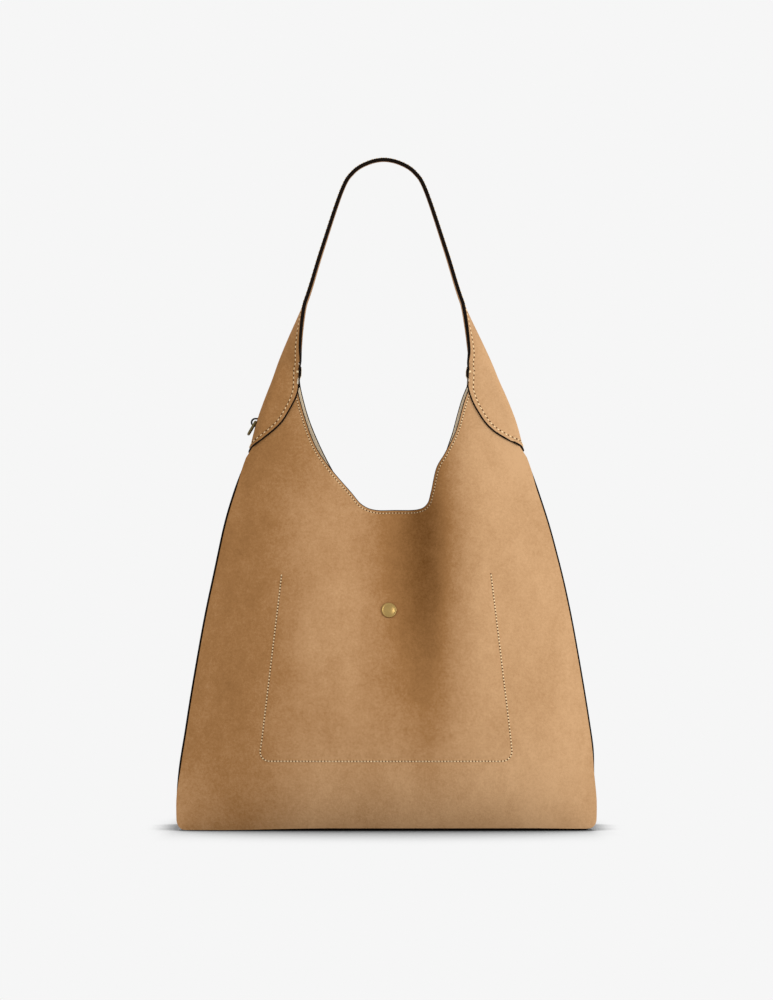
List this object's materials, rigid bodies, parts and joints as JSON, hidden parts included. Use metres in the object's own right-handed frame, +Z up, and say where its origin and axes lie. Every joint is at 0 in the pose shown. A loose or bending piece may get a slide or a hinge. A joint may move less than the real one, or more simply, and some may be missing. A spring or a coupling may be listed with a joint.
{
  "type": "hobo bag",
  "caption": "Large slouchy suede hobo bag: flat base, in-folded gussets, U-shaped open mouth between two horns, one raised shoulder strap, inner snap pocket and a small side ring.",
  "frame": {"origin": "middle of the base, on the surface that the bag stands on", "axes": "+Z up through the raised strap, +X to the right as seen from the front, -Y the front with the snap"},
  "size_m": [0.39, 0.1559, 0.618],
  "materials": {
    "suede": "tan suede, short soft nap",
    "suede_reverse": "paler, coarser inner face of the same suede",
    "edge_paint": "black painted leather edge, half gloss",
    "brass": "brushed antique brass",
    "thread": "pale sand waxed thread"
  },
  "bodies": {
    "root": {"front_panel": "suede", "back_panel": "suede", "left_gusset": "suede", "right_gusset": "suede", "base_panel": "suede", "left_strap_end": "suede", "right_strap_end": "suede", "ring_tab": "suede", "front_mouth_facing": "suede_reverse", "back_mouth_facing": "suede_reverse", "front_welt": "edge_paint", "back_welt": "edge_paint", "snap_cap": "brass", "snap_stud": "brass", "left_front_bar_tack": "thread", "left_back_bar_tack": "thread", "right_front_bar_tack": "thread", "right_back_bar_tack": "thread"},
    "strap": {"strap_outer": "suede", "strap_lining": "suede"},
    "pocket": {"pocket_panel": "suede_reverse", "snap_socket": "brass", "snap_socket_cap": "brass"},
    "ring": {"d_ring": "brass"}
  },
  "joints": [
    {"name": "strap_fall", "type": "hinge", "parent": "root", "child": "strap", "pos_m": [0, 0, 0.452], "axis": [1, 0, 0], "range_deg": [-110, 110]},
    {"name": "pocket_open", "type": "hinge", "parent": "root", "child": "pocket", "pos_m": [0, -0.0735, 0.06], "axis": [-1, 0, 0], "range_deg": [0, 6]},
    {"name": "ring_swing", "type": "hinge", "parent": "root", "child": "ring", "pos_m": [-0.1213, 0, 0.3744], "axis": [0, 1, 0], "range_deg": [0, 150]}
  ]
}
